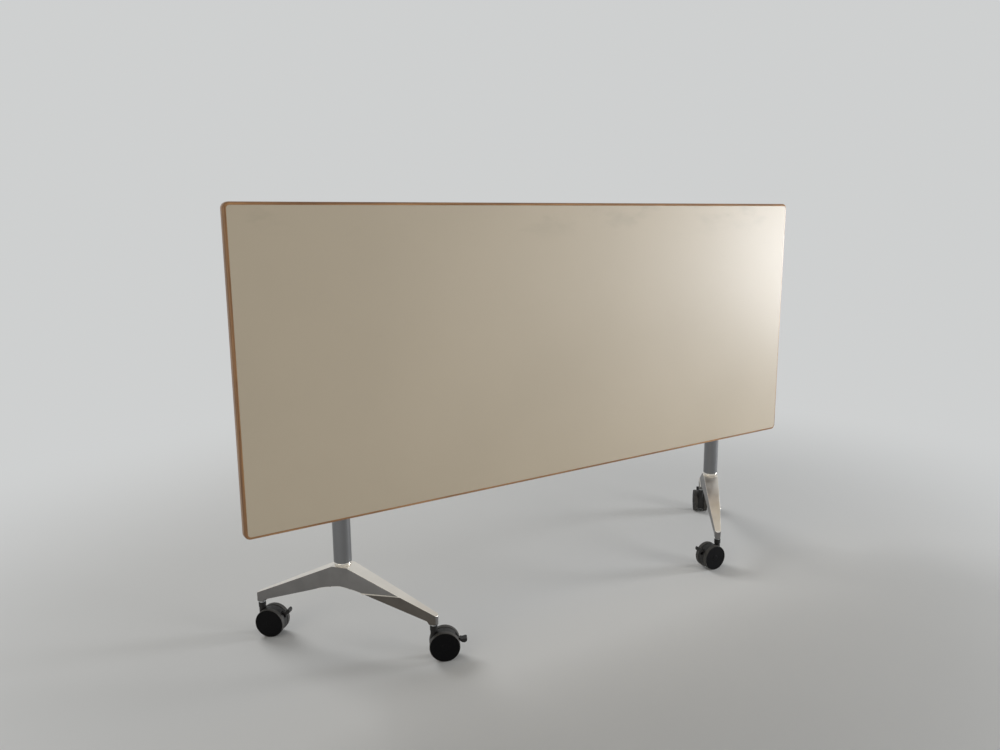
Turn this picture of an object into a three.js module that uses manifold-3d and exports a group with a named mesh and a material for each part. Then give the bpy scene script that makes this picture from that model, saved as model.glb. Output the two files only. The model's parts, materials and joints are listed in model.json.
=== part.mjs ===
// Flip top training table, drawn with its top tipped up for parking.
// Millimetres. X runs along the table, the tipped work face looks to -Y, Z is up.
import * as THREE from 'three';
import { mergeVertices } from 'three/addons/utils/BufferGeometryUtils.js';
import Module from 'manifold-3d';

const wasm = await Module();
wasm.setup();

// Driving dimensions
const GAP = 0.3; // running or seating clearance between neighbouring pieces
const WORKING_HEIGHT = 740; // work face above the floor with the top laid flat
const COLUMN_SPACING = 1300;
const TOP = {
  length: 1800, width: 750, thickness: 24, corner: 15,
  lipping: 7, edgeRound: 7, laminate: 0.8, glue: 0.2,
  rise: 38, // middle of the tipped top above the pivot
};
const PIVOT = { underside: 29, tubeRadius: 16, tubeBore: 13 };
const COLUMN = { radius: 22.5, bore: 20, foot: 227.2, top: 640, endPlate: 18 };
const FOOT = {
  skew: 49.5, // degrees between the arms and the table's length
  reach: 250, tipRadius: 11, tipTop: 115, seat: 89.5, hubTop: 217.3, hubBottom: 167,
};
const SEAT_RING = { height: 9.6, waist: 20.2 };
const BOLT = { radius: 5, headRadius: 8.5, headHeight: 9, headTop: 179.5, end: 243 };
const HEAD = {
  barrelRadius: 23.5, barrelHalf: 25, bodyHalf: 19, collarTop: -38, spigot: 50,
  armReach: 80, armTop: 18,
};
const BRACKET = {
  half: 39, reach: 90, thickness: 3.7, earFrom: 28, earTo: 38, earRadius: 24.5, earBase: 45,
};
const BUSH = { radius: 18.6, flange: 22, flangeThickness: 1.4 };
const LATCH = {
  away: 18, up: 26, rodRadius: 4, lift: 22, // rod from the pivot, and the pawl's lift in degrees
  discFrom: 42, discTo: 52, discRadius: 24.5, toothTip: 19.8, toothWidth: 6, pawlHub: 6.7,
};
const SPRING = { turns: 6, coil: 6.4, wire: 0.9, pitch: 3.4, inset: 56 };
const PADDLE = { half: 75, length: 114, thickness: 5, lip: 8, guideHalf: 10 };
const CASTOR = {
  pin: 238, // swivel axis from the column's axis
  radius: 37.5, trail: 26, wheelFrom: 10.2, wheelWidth: 13.3, shoulder: 3, hub: 4, axleDepth: 9.5,
  hoodHalf: 9.7, hoodRadius: 36.6, hoodEnd: 40, // the hood ends this many degrees below the axle
  neckRadius: 8.5, bossRadius: 9.5, bossFoot: 74, bossTop: 86,
  stemRadius: 5, stemFlange: 8.2, stemFrom: 62, stemTop: 110,
};
const BRAKE = {
  x: 44, z: 53.5, hub: 5, half: 5.4, trunnion: 2.2, trunnionHalf: 8.6,
  padFrom: 20, padHalf: 9.4, bend: 26, length: 37.5, curl: 6.4, below: 2.4, above: 2.4, belly: 5,
  raised: 24, pressed: -14, // degrees above level
};
// Each castor trails its pin by a heading, in degrees from +X; one brake is drawn pressed.
const CORNERS = [
  { name: 'left_front', side: -1, end: -1, heading: -27.6, lever: BRAKE.pressed },
  { name: 'left_rear', side: -1, end: 1, heading: -42.5, lever: BRAKE.raised },
  { name: 'right_front', side: 1, end: -1, heading: 174, lever: BRAKE.raised },
  { name: 'right_rear', side: 1, end: 1, heading: 49, lever: BRAKE.raised },
];
const SIDES = [{ name: 'left', sign: -1 }, { name: 'right', sign: 1 }];
const ROUND = 24; // facets of a full turn
const ROUND_LARGE = 32; // the same on columns, seat rings and wheels
const ROUND_SMALL = 16; // the same on pins and bolts

const PIVOT_Z = WORKING_HEIGHT - PIVOT.underside - TOP.thickness;
const COLUMN_X = COLUMN_SPACING / 2;
const SKEW = THREE.MathUtils.degToRad(FOOT.skew);

// Finishes
const finish = (color, roughness, metalness) => (
  new THREE.MeshStandardMaterial({ color, roughness, metalness })
);
const FINISH = {
  laminate: finish(0xd9d0c2, 0.45, 0),
  backing: finish(0xb9b1a4, 0.6, 0),
  board: finish(0xb08c62, 0.9, 0),
  lipping: finish(0x8a6138, 0.5, 0),
  aluminium: finish(0xcdc8be, 0.22, 1),
  columnPaint: finish(0x85878c, 0.38, 0.7),
  blackSteel: finish(0x2b2c2e, 0.55, 0.4),
  zinc: finish(0xa9abad, 0.35, 1),
  blackPlastic: finish(0x151617, 0.5, 0),
  tread: finish(0x35332f, 0.7, 0),
  rubber: finish(0x1d1d1d, 0.9, 0),
  nylon: finish(0xd6d3ca, 0.5, 0),
};

const table = new THREE.Group();

// Geometry helpers

// One closed shell: shared corners merged, collapsed triangles dropped, faces turned outwards.
function closed(geometry) {
  const bare = new THREE.BufferGeometry();
  bare.setAttribute('position', geometry.getAttribute('position').clone());
  bare.setIndex(geometry.index);
  const merged = mergeVertices(bare, 1e-4);
  const position = merged.getAttribute('position');
  const corner = [0, 1, 2].map(() => new THREE.Vector3());
  const kept = [];
  let volume = 0;
  for (let i = 0; i < merged.index.count; i += 3) {
    const ids = [0, 1, 2].map((k) => merged.index.getX(i + k));
    if (new Set(ids).size < 3) continue;
    ids.forEach((id, k) => corner[k].fromBufferAttribute(position, id));
    volume += corner[0].dot(corner[1].clone().cross(corner[2]));
    kept.push(ids);
  }
  merged.setIndex((volume < 0 ? kept.map(([a, b, c]) => [a, c, b]) : kept).flat());
  return merged;
}

function solid(geometry) {
  const shell = closed(geometry);
  return new wasm.Manifold(new wasm.Mesh({
    numProp: 3,
    vertProperties: new Float32Array(shell.getAttribute('position').array),
    triVerts: new Uint32Array(shell.index.array),
  }));
}

function unite(...geometries) {
  const [first, ...others] = geometries.map(solid);
  return fromSolid(others.reduce((body, other) => body.add(other), first));
}

function cut(geometry, ...tools) {
  return fromSolid(tools.map(solid).reduce((body, tool) => body.subtract(tool), solid(geometry)));
}

function common(first, second) {
  return fromSolid(solid(first).intersect(solid(second)));
}

function fromSolid(body) {
  const { vertProperties, triVerts } = body.getMesh();
  const geometry = new THREE.BufferGeometry();
  geometry.setAttribute('position', new THREE.BufferAttribute(new Float32Array(vertProperties), 3));
  geometry.setIndex(new THREE.BufferAttribute(new Uint32Array(triVerts), 1));
  return geometry;
}

function outline(points) {
  return new THREE.Shape(points.map(([x, y]) => new THREE.Vector2(x, y)));
}

function roundedRectangle(width, height, radius) {
  const [x, y] = [width / 2 - radius, height / 2 - radius];
  const shape = new THREE.Shape();
  shape.absarc(x, y, radius, 0, Math.PI / 2);
  shape.absarc(-x, y, radius, Math.PI / 2, Math.PI);
  shape.absarc(-x, -y, radius, Math.PI, 1.5 * Math.PI);
  shape.absarc(x, -y, radius, 1.5 * Math.PI, 2 * Math.PI);
  return shape;
}

// A plate in the XZ plane, from y = 0 back to y = -thickness.
function plate(width, height, radius, thickness) {
  const body = new THREE.ExtrudeGeometry(roundedRectangle(width, height, radius), {
    depth: thickness, bevelEnabled: false, curveSegments: 3,
  });
  return body.rotateX(Math.PI / 2);
}

// A (y, z) outline carried along X.
function alongX(shape, from, to) {
  const body = new THREE.ExtrudeGeometry(shape, { depth: to - from, bevelEnabled: false, curveSegments: 12 });
  const [x, y, z] = [new THREE.Vector3(1, 0, 0), new THREE.Vector3(0, 1, 0), new THREE.Vector3(0, 0, 1)];
  return body.applyMatrix4(new THREE.Matrix4().makeBasis(y, z, x)).translate(from, 0, 0);
}

// An (x, z) outline carried along Y, the same amount each way.
function alongY(shape, half) {
  const body = new THREE.ExtrudeGeometry(shape, { depth: 2 * half, bevelEnabled: false, curveSegments: 10 });
  return body.rotateX(Math.PI / 2).translate(0, half, 0);
}

// A (radius, height) profile turned about Y, X or Z; ring closes the profile on itself.
function turnedY(profile, segments = ROUND) {
  const points = profile.map(([radius, height]) => new THREE.Vector2(radius, height));
  return new THREE.LatheGeometry(points, segments, Math.PI / segments);
}
const turnedZ = (profile, segments) => turnedY(profile, segments).rotateX(Math.PI / 2);
const turnedX = (profile, segments) => turnedY(profile, segments).rotateZ(-Math.PI / 2);
const ring = (profile) => [...profile, profile[0]];
const pipe = (inner, outer, from, to) => ring([[inner, from], [outer, from], [outer, to], [inner, to]]);
const rod = (radius, from, to) => [[0, from], [radius, from], [radius, to], [0, to]];

function piece(parent, name, geometry, material, place = [0, 0, 0]) {
  const mesh = new THREE.Mesh(closed(geometry), material);
  mesh.name = name;
  mesh.position.set(...place);
  parent.add(mesh);
  return mesh;
}

// Tipping top: board, laminates and lipping, in the pivot's frame
const tippingTop = new THREE.Group();
tippingTop.position.z = PIVOT_Z;
table.add(tippingTop);

function makeBoard() {
  const { length, width, thickness, corner, lipping, edgeRound, laminate, glue, rise } = TOP;
  const back = [0, -PIVOT.underside, rise];
  const inner = [length - 2 * lipping, width - 2 * lipping, corner - lipping];
  const sheet = [inner[0] - 2 * glue, inner[1] - 2 * glue, inner[2]];
  const rounded = new THREE.ExtrudeGeometry(roundedRectangle(length, width, corner), {
    depth: thickness - 2 * edgeRound, curveSegments: 3,
    bevelSize: edgeRound, bevelThickness: edgeRound, bevelOffset: -edgeRound, bevelSegments: 4,
  }).rotateX(Math.PI / 2).translate(0, -edgeRound, 0);
  const opening = plate(...inner, 2 * thickness).translate(0, thickness / 2, 0);
  piece(tippingTop, 'edge_lipping', cut(rounded, opening), FINISH.lipping, back);
  const layers = [
    ['back_laminate', laminate, FINISH.backing],
    ['top_core', thickness - 2 * (laminate + glue), FINISH.board],
    ['face_laminate', laminate, FINISH.laminate],
  ];
  let depth = 0;
  for (const [name, layer, material] of layers) {
    piece(tippingTop, name, plate(...sheet, layer), material, [0, back[1] - depth, rise]);
    depth += layer + glue;
  }
}

// Brackets screwed under the top, each with two bushed ears that turn on the cross tube
function earOutline() {
  const { earRadius, earBase, thickness } = BRACKET;
  const root = [-(PIVOT.underside - GAP - thickness) - thickness / 2, earBase];
  const touch = Math.atan2(root[1], root[0]) - Math.acos(earRadius / Math.hypot(...root));
  const shape = new THREE.Shape();
  shape.absarc(0, 0, earRadius, -touch, touch);
  shape.lineTo(...root);
  shape.lineTo(root[0], -root[1]);
  shape.closePath();
  return shape;
}

function addHole(shape, x, y, radius) {
  const hole = new THREE.Path();
  hole.absarc(x, y, radius, 0, 2 * Math.PI);
  shape.holes.push(hole);
}

function makeBracket({ name, sign }) {
  const { half, reach, thickness, earFrom, earTo } = BRACKET;
  const inner = earOutline();
  const outer = earOutline();
  addHole(inner, 0, 0, BUSH.radius + GAP);
  addHole(outer, 0, 0, BUSH.radius + GAP);
  addHole(inner, -LATCH.away, LATCH.up, LATCH.rodRadius + GAP);
  const base = plate(2 * half, 2 * reach, thickness, thickness)
    .translate(0, -(PIVOT.underside - GAP - thickness), 0);
  const [low, high] = sign > 0 ? [inner, outer] : [outer, inner];
  const body = unite(base, alongX(low, -earTo, -earFrom), alongX(high, earFrom, earTo));
  piece(tippingTop, `${name}_bracket`, body, FINISH.blackSteel, [sign * COLUMN_X, 0, 0]);

  const bore = PIVOT.tubeRadius + GAP;
  const flangeFrom = earFrom - GAP - BUSH.flangeThickness;
  const bush = ring([
    [bore, flangeFrom], [BUSH.flange, flangeFrom], [BUSH.flange, earFrom - GAP],
    [BUSH.radius, earFrom - GAP], [BUSH.radius, earTo], [bore, earTo],
  ]);
  const facing = { inner: -sign, outer: sign };
  for (const [ear, way] of Object.entries(facing)) {
    const body = turnedX(bush);
    if (way < 0) body.rotateY(Math.PI);
    piece(tippingTop, `${name}_${ear}_bush`, body, FINISH.nylon, [sign * COLUMN_X, 0, 0]);
  }
  const pad = { width: 28, height: 24, below: 72, thickness: 1.9 };
  const bracketFace = PIVOT.underside - GAP - thickness;
  piece(tippingTop, `${name}_stop_pad`, plate(pad.width, pad.height, 4, pad.thickness), FINISH.rubber,
    [sign * COLUMN_X, pad.thickness + GAP - bracketFace, -pad.below]);
}

// Release bar: a rod with a pawl at each end and a squeeze paddle in the middle, drawn squeezed
const latch = new THREE.Group();
latch.position.set(0, -LATCH.away, LATCH.up);
tippingTop.add(latch);

// Directions, seen along X from the pivot, of the rod and of the pawl's tooth when it is home.
const ROD_REACH = Math.hypot(LATCH.away, LATCH.up);
const ROD_ANGLE = Math.atan2(LATCH.up, -LATCH.away);
const TOOTH_MIDDLE = (LATCH.toothTip + LATCH.discRadius) / 2;
const TOOTH_ANGLE = ROD_ANGLE - Math.acos(TOOTH_MIDDLE / ROD_REACH);

// A bar from one radius to another along a direction from the pivot, as a (y, z) outline.
function radialBar(angle, from, to, width) {
  const [along, across] = [[Math.cos(angle), Math.sin(angle)], [-Math.sin(angle), Math.cos(angle)]];
  const corner = (reach, side) => [0, 1].map((k) => along[k] * reach + across[k] * side * width / 2);
  return outline([corner(from, -1), corner(to, -1), corner(to, 1), corner(from, 1)]);
}

function pawlBody() {
  const thickness = LATCH.discTo - LATCH.discFrom - 2;
  const shoulder = ROD_REACH;
  const armWidth = 7;
  const tooth = radialBar(TOOTH_ANGLE, LATCH.toothTip, shoulder + armWidth / 2, LATCH.toothWidth);
  const rodAt = [Math.cos(ROD_ANGLE) * ROD_REACH, Math.sin(ROD_ANGLE) * ROD_REACH];
  const toothAt = [Math.cos(TOOTH_ANGLE) * shoulder, Math.sin(TOOTH_ANGLE) * shoulder];
  const length = Math.hypot(rodAt[0] - toothAt[0], rodAt[1] - toothAt[1]);
  const slope = Math.atan2(rodAt[1] - toothAt[1], rodAt[0] - toothAt[0]);
  const arm = alongX(radialBar(0, 0, length, armWidth), 0, thickness).rotateX(slope).translate(0, ...toothAt);
  const hub = turnedX(rod(LATCH.pawlHub, 0, thickness)).translate(0, ...rodAt);
  const bore = turnedX(rod(LATCH.rodRadius + GAP, -1, thickness + 1)).translate(0, ...rodAt);
  const body = cut(unite(alongX(tooth, 0, thickness), arm, hub), bore);
  return body.translate(-thickness / 2, -rodAt[0], -rodAt[1]).rotateX(THREE.MathUtils.degToRad(LATCH.lift));
}

function makeLatch() {
  const rodEnd = COLUMN_X - BRACKET.earFrom - 1;
  piece(latch, 'latch_rod', turnedX(rod(LATCH.rodRadius, -rodEnd, rodEnd), ROUND_SMALL), FINISH.zinc);
  const pawlX = COLUMN_X - (LATCH.discFrom + LATCH.discTo) / 2;
  for (const { name, sign } of SIDES) {
    piece(latch, `${name}_latch_pawl`, pawlBody(), FINISH.zinc, [sign * pawlX, 0, 0]);
    piece(latch, `${name}_latch_spring`, springBody(), FINISH.zinc,
      [sign * (COLUMN_X - SPRING.inset) - (sign > 0 ? springLength() : 0), 0, 0]);
  }
  piece(latch, 'release_paddle', paddleBody(), FINISH.blackPlastic);
  const guide = { below: 10, above: 10, from: 10 };
  const block = alongX(outline([
    [LATCH.away - PIVOT.underside + GAP, -guide.below], [guide.from - 2, -guide.below],
    [guide.from - 2, guide.above], [LATCH.away - PIVOT.underside + GAP, guide.above],
  ]), -PADDLE.guideHalf, PADDLE.guideHalf);
  const through = 2 * PADDLE.guideHalf;
  const bore = turnedX(rod(LATCH.rodRadius + GAP, -through, through), ROUND_SMALL);
  piece(tippingTop, 'rod_guide', cut(block, bore), FINISH.nylon, [0, -LATCH.away, LATCH.up]);
}

// Return spring wound on the rod: one wire, straight for a wire's thickness at each end.
class SpringPath extends THREE.Curve {
  getPoint(t, target = new THREE.Vector3()) {
    const { turns, coil, wire, pitch } = SPRING;
    const turn = Math.hypot(2 * Math.PI * coil, pitch);
    const tail = 2 * wire / turn;
    const at = t * (turns + 2 * tail) - tail;
    const wound = THREE.MathUtils.clamp(at, 0, turns);
    const past = (at - wound) * 2 * Math.PI * coil;
    const angle = 2 * Math.PI * wound;
    return target.set(at * pitch, coil * Math.cos(angle) - past * Math.sin(angle),
      coil * Math.sin(angle) + past * Math.cos(angle));
  }
}

const SPRING_STEPS = 8 * SPRING.turns;
const springLength = () => SPRING.turns * SPRING.pitch;

// Clear space between neighbouring turns, measured between points at least half a turn apart.
function leastSpringGap() {
  const points = new SpringPath().getPoints(4 * SPRING_STEPS);
  const apart = Math.ceil(points.length / SPRING.turns / 2);
  let least = Infinity;
  points.forEach((point, i) => points.slice(i + apart).forEach((other) => {
    least = Math.min(least, point.distanceTo(other) - 2 * SPRING.wire);
  }));
  return least;
}

function springBody() {
  const sides = 5;
  const section = new THREE.Shape(Array.from({ length: sides }, (_, k) => {
    const angle = 2 * Math.PI * k / sides;
    return new THREE.Vector2(SPRING.wire * Math.cos(angle), SPRING.wire * Math.sin(angle));
  }));
  return new THREE.ExtrudeGeometry(section, {
    steps: SPRING_STEPS, extrudePath: new SpringPath(), bevelEnabled: false,
  });
}

function paddleBody() {
  const { half, length, thickness, lip, guideHalf } = PADDLE;
  const hubRadius = 8.5;
  const start = 12;
  const grip = alongX(outline([
    [-thickness / 2, start], [-thickness / 2, length], [lip, length], [lip, length - thickness],
    [thickness / 2, length - 2 * thickness], [thickness / 2, start],
  ]), -half, half);
  const clear = guideHalf + 4;
  const lobe = outline([
    [-hubRadius * 0.6, 0], [hubRadius * 0.6, 0], [thickness / 2, start + 6], [-thickness / 2, start + 6],
  ]);
  const lugs = [[-half, -clear], [clear, half]].flatMap(([from, to]) => [
    turnedX(rod(hubRadius, from, to), ROUND_SMALL), alongX(lobe, from, to),
  ]);
  const bore = turnedX(rod(LATCH.rodRadius + GAP, -2 * half, 2 * half), ROUND_SMALL);
  return cut(unite(grip, ...lugs), bore);
}

// Fixed cross tube on the pivot line, its end caps and the notched latch discs
function makeCrossTube() {
  const end = COLUMN_X + BRACKET.earTo + 2;
  const cap = { flange: 20, thickness: 4, plug: 14 };
  const pivot = [0, 0, PIVOT_Z];
  const tube = turnedX(pipe(PIVOT.tubeBore, PIVOT.tubeRadius, -end, end));
  piece(table, 'cross_tube', tube, FINISH.columnPaint, pivot);
  const capProfile = [
    [0, -cap.plug], [PIVOT.tubeBore - GAP, -cap.plug], [PIVOT.tubeBore - GAP, GAP],
    [cap.flange, GAP], [cap.flange, cap.thickness], [0, cap.thickness],
  ];
  for (const { name, sign } of SIDES) {
    const body = turnedX(capProfile);
    if (sign < 0) body.rotateY(Math.PI);
    piece(table, `${name}_tube_cap`, body, FINISH.blackPlastic, [sign * end, 0, PIVOT_Z]);
    const from = sign > 0 ? -LATCH.discTo : LATCH.discFrom;
    const to = sign > 0 ? -LATCH.discFrom : LATCH.discTo;
    const notches = [TOOTH_ANGLE, TOOTH_ANGLE - Math.PI / 2].map((angle) => alongX(
      radialBar(angle, LATCH.toothTip - 0.5, 2 * LATCH.discRadius, LATCH.toothWidth + 1.4),
      from - 1, to + 1,
    ));
    const disc = cut(turnedX(pipe(PIVOT.tubeRadius + GAP, LATCH.discRadius, from, to)), ...notches);
    piece(table, `${name}_latch_disc`, disc, FINISH.zinc, [sign * COLUMN_X, 0, PIVOT_Z]);
  }
}

// Heads: a cast saddle on each column that holds the tube, with a rear arm the flat top rests on
function makeHead({ name, sign }) {
  const { barrelRadius, barrelHalf, bodyHalf, collarTop, spigot, armReach, armTop } = HEAD;
  const neck = COLUMN.radius - 2;
  const collarFoot = COLUMN.top + GAP - PIVOT_Z;
  const side = outline([
    [-neck, collarTop - 2], [neck, collarTop - 2], [armReach - 8, 0], [armReach, 8], [armReach, armTop],
    [armReach - 30, armTop], [0, barrelRadius / 2], [-neck, 0],
  ]);
  const body = unite(
    turnedX(rod(barrelRadius, -barrelHalf, barrelHalf)),
    alongX(side, -bodyHalf, bodyHalf),
    turnedZ(rod(COLUMN.radius + 1, collarFoot, collarTop)),
    turnedZ(rod(COLUMN.bore - 2 * GAP, collarFoot - spigot, collarFoot + 1)),
  );
  const bore = turnedX(rod(PIVOT.tubeRadius + GAP, -2 * barrelHalf, 2 * barrelHalf));
  const place = [sign * COLUMN_X, 0, PIVOT_Z];
  piece(table, `${name}_head`, cut(body, bore), FINISH.aluminium, place);
  const pad = { width: 24, depth: 22 };
  const bracketFace = PIVOT.underside - GAP - BRACKET.thickness;
  const padBody = plate(pad.width, pad.depth, 5, bracketFace - armTop - 2 * GAP).rotateX(-Math.PI / 2);
  piece(table, `${name}_rest_pad`, padBody, FINISH.rubber,
    [place[0], armReach - 15, PIVOT_Z + armTop + GAP]);
}

// Columns, seat rings and foot bolts
function makeColumn({ name, sign }) {
  const { radius, bore, foot, top, endPlate } = COLUMN;
  const place = [sign * COLUMN_X, 0, 0];
  const hole = BOLT.radius + GAP;
  const tube = ring([
    [hole, foot], [radius, foot], [radius, top],
    [bore, top], [bore, foot + endPlate], [hole, foot + endPlate],
  ]);
  piece(table, `${name}_column`, turnedZ(tube, ROUND_LARGE), FINISH.columnPaint, place);
  const seat = FOOT.hubTop + GAP;
  const crown = seat + SEAT_RING.height - GAP;
  const flare = radius - GAP;
  const collar = ring([
    [hole, seat], [flare, seat], [flare, seat + 2], [SEAT_RING.waist + 0.7, seat + 4],
    [SEAT_RING.waist, seat + 6.5], [SEAT_RING.waist, crown], [hole, crown],
  ]);
  piece(table, `${name}_seat_ring`, turnedZ(collar, ROUND_LARGE), FINISH.aluminium, place);
  const headFoot = BOLT.headTop - BOLT.headHeight;
  const bolt = [
    [0, headFoot], [BOLT.headRadius, headFoot], [BOLT.headRadius, BOLT.headTop - GAP],
    [BOLT.radius, BOLT.headTop - GAP], [BOLT.radius, BOLT.end], [0, BOLT.end],
  ];
  piece(table, `${name}_foot_bolt`, turnedZ(bolt, ROUND_SMALL), FINISH.zinc, place);
}

// Cast feet: two arms that fall and taper from the hub, arched below, with a fold in each side wall
function footSideOutline() {
  const { reach, tipTop, seat, hubTop, hubBottom } = FOOT;
  const shoulder = COLUMN.radius - 0.5;
  const seatFrom = CASTOR.pin - 9;
  const archEnd = [80, 147];
  const underTip = [seatFrom - 5, 97.7];
  const shape = new THREE.Shape();
  shape.moveTo(shoulder, hubTop);
  shape.lineTo(-shoulder, hubTop);
  shape.lineTo(-(reach - 4), tipTop);
  shape.lineTo(-reach, tipTop - 3);
  shape.lineTo(-reach, seat);
  shape.lineTo(-seatFrom, seat);
  shape.lineTo(-underTip[0], underTip[1]);
  shape.lineTo(-archEnd[0], archEnd[1]);
  shape.quadraticCurveTo(-archEnd[0] / 2, hubBottom - 4, 0, hubBottom);
  shape.quadraticCurveTo(archEnd[0] / 2, hubBottom - 4, ...archEnd);
  shape.lineTo(...underTip);
  shape.lineTo(seatFrom, seat);
  shape.lineTo(reach, seat);
  shape.lineTo(reach, tipTop - 3);
  shape.lineTo(reach - 4, tipTop);
  shape.closePath();
  return shape;
}

function footPlanOutline() {
  const tip = FOOT.reach - FOOT.tipRadius;
  const shoulder = COLUMN.radius;
  const shape = new THREE.Shape();
  shape.absarc(tip, 0, FOOT.tipRadius, -Math.PI / 2, Math.PI / 2);
  shape.lineTo(shoulder, shoulder);
  shape.lineTo(-shoulder, shoulder);
  shape.absarc(-tip, 0, FOOT.tipRadius, Math.PI / 2, 1.5 * Math.PI);
  shape.lineTo(-shoulder, -shoulder);
  shape.lineTo(shoulder, -shoulder);
  shape.closePath();
  return shape;
}

// A block beyond the plane of one outer side wall, which leans in below the fold.
function foldCutter(end, side) {
  const [fold, lean] = [[70, 19.96, 154], [245, 7.5, 90]];
  const foldEnd = [150, 15.72, 156];
  const [a, b, c] = [fold, foldEnd, lean].map(([s, w, z]) => new THREE.Vector3(end * s, side * w, z));
  const normal = b.clone().sub(a).cross(c.clone().sub(a)).normalize();
  if (normal.y * side < 0) normal.negate();
  const size = 1000;
  const block = new THREE.BoxGeometry(size, size, size);
  block.translate(0, 0, size / 2);
  block.applyQuaternion(new THREE.Quaternion().setFromUnitVectors(new THREE.Vector3(0, 0, 1), normal));
  return block.translate(a.x, a.y, a.z);
}

function footBody() {
  const side = alongY(footSideOutline(), 2 * COLUMN.radius);
  const plan = new THREE.ExtrudeGeometry(footPlanOutline(), {
    depth: 2 * FOOT.hubTop, bevelEnabled: false, curveSegments: 6,
  });
  const folds = [[-1, -1], [-1, 1], [1, -1], [1, 1]].map(([end, wall]) => foldCutter(end, wall));
  const boltHole = turnedZ(rod(BOLT.radius + GAP, 0, 2 * FOOT.hubTop), ROUND_SMALL);
  const counterbore = turnedZ(rod(BOLT.headRadius + 1, 0, BOLT.headTop));
  const stemRod = rod(CASTOR.stemRadius + GAP, 0, CASTOR.stemTop + GAP);
  const stemHoles = [-1, 1].map((end) => turnedZ(stemRod, ROUND_SMALL).translate(end * CASTOR.pin, 0, 0));
  return cut(common(side, plan), ...folds, boltHole, counterbore, ...stemHoles);
}

function makeFoot({ name, sign }) {
  const foot = piece(table, `${name}_foot`, footBody(), FINISH.aluminium, [sign * COLUMN_X, 0, 0]);
  foot.rotation.z = sign * SKEW;
}

// Twin wheel castors: stem in the foot, hood with axle, two wheels and a brake lever
function hoodBody() {
  const { trail, radius, hoodHalf, hoodRadius, hub, neckRadius, bossRadius, bossFoot, bossTop } = CASTOR;
  const open = THREE.MathUtils.degToRad(CASTOR.hoodEnd);
  const web = new THREE.Shape();
  web.absarc(trail, radius, hoodRadius, -open, Math.PI + open);
  web.closePath();
  const neck = turnedZ(rod(neckRadius, bossFoot / 2, bossTop), ROUND_SMALL);
  const boss = turnedZ(rod(bossRadius, bossFoot, bossTop), ROUND_SMALL);
  const bore = turnedZ(rod(CASTOR.stemRadius + GAP, CASTOR.stemFrom - GAP, 2 * bossTop), ROUND_SMALL);
  const through = 2 * hoodHalf;
  const axleBore = turnedY(rod(hub + GAP, -through, through), ROUND_SMALL).translate(trail, 0, radius);
  return cut(unite(alongY(web, hoodHalf), neck, boss), bore, axleBore, leverSweep());
}

// The room in the hood that the brake lever's hub, trunnions and bar swing through.
function leverSweep() {
  const { x, z, hub, trunnion, trunnionHalf, raised, pressed } = BRAKE;
  const clear = { above: 4, below: 3.2, reach: 60 };
  const at = (degrees, along, across) => {
    const point = new THREE.Vector2(along, across);
    return point.rotateAround(new THREE.Vector2(), THREE.MathUtils.degToRad(degrees)).toArray();
  };
  const wedge = outline([
    at(pressed, 0, -clear.below), at(pressed, clear.reach, -clear.below),
    at(raised, clear.reach, clear.above), at(raised, 0, clear.above),
  ]);
  const half = BRAKE.half + GAP;
  const pinHalf = trunnionHalf + GAP;
  return unite(
    alongY(wedge, half), turnedY(rod(hub + GAP, -half, half), ROUND_SMALL),
    turnedY(rod(trunnion + GAP, -pinHalf, pinHalf), ROUND_SMALL),
  ).translate(x, 0, z);
}

// Brake lever about its pivot: a bar between the hood's cheeks, and a wider thumb pad.
function leverBody(degrees) {
  const { x, z, hub, half, trunnion, trunnionHalf, below, above } = BRAKE;
  const { padFrom, padHalf, bend, length, curl, belly } = BRAKE;
  const bar = outline([[0, -below], [padFrom + 2, -below], [padFrom + 2, above], [0, above + 1]]);
  const pad = outline([
    [padFrom, -below], [bend, -belly], [length - 5, -belly], [length - 1, 1 - below], [length, above],
    [length - 1, curl], [length - 5, curl], [bend - 1, above], [padFrom, above],
  ]);
  const body = unite(
    alongY(bar, half), alongY(pad, padHalf), turnedY(rod(hub, -half, half), ROUND_SMALL),
    turnedY(rod(trunnion, -trunnionHalf, trunnionHalf), ROUND_SMALL),
  );
  return body.rotateY(-THREE.MathUtils.degToRad(degrees)).translate(x, 0, z);
}

function wheelProfile() {
  const { radius, wheelWidth, shoulder, hub, axleDepth } = CASTOR;
  const rim = radius / Math.cos(Math.PI / ROUND_LARGE); // flats, not corners, touch the floor
  const bore = hub + GAP;
  const back = 2 * GAP;
  return [
    [0, wheelWidth], [rim - shoulder, wheelWidth], [rim, wheelWidth - shoulder],
    [rim, back + 1], [rim - 1, back], [bore, back], [bore, axleDepth], [0, axleDepth],
  ];
}

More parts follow.
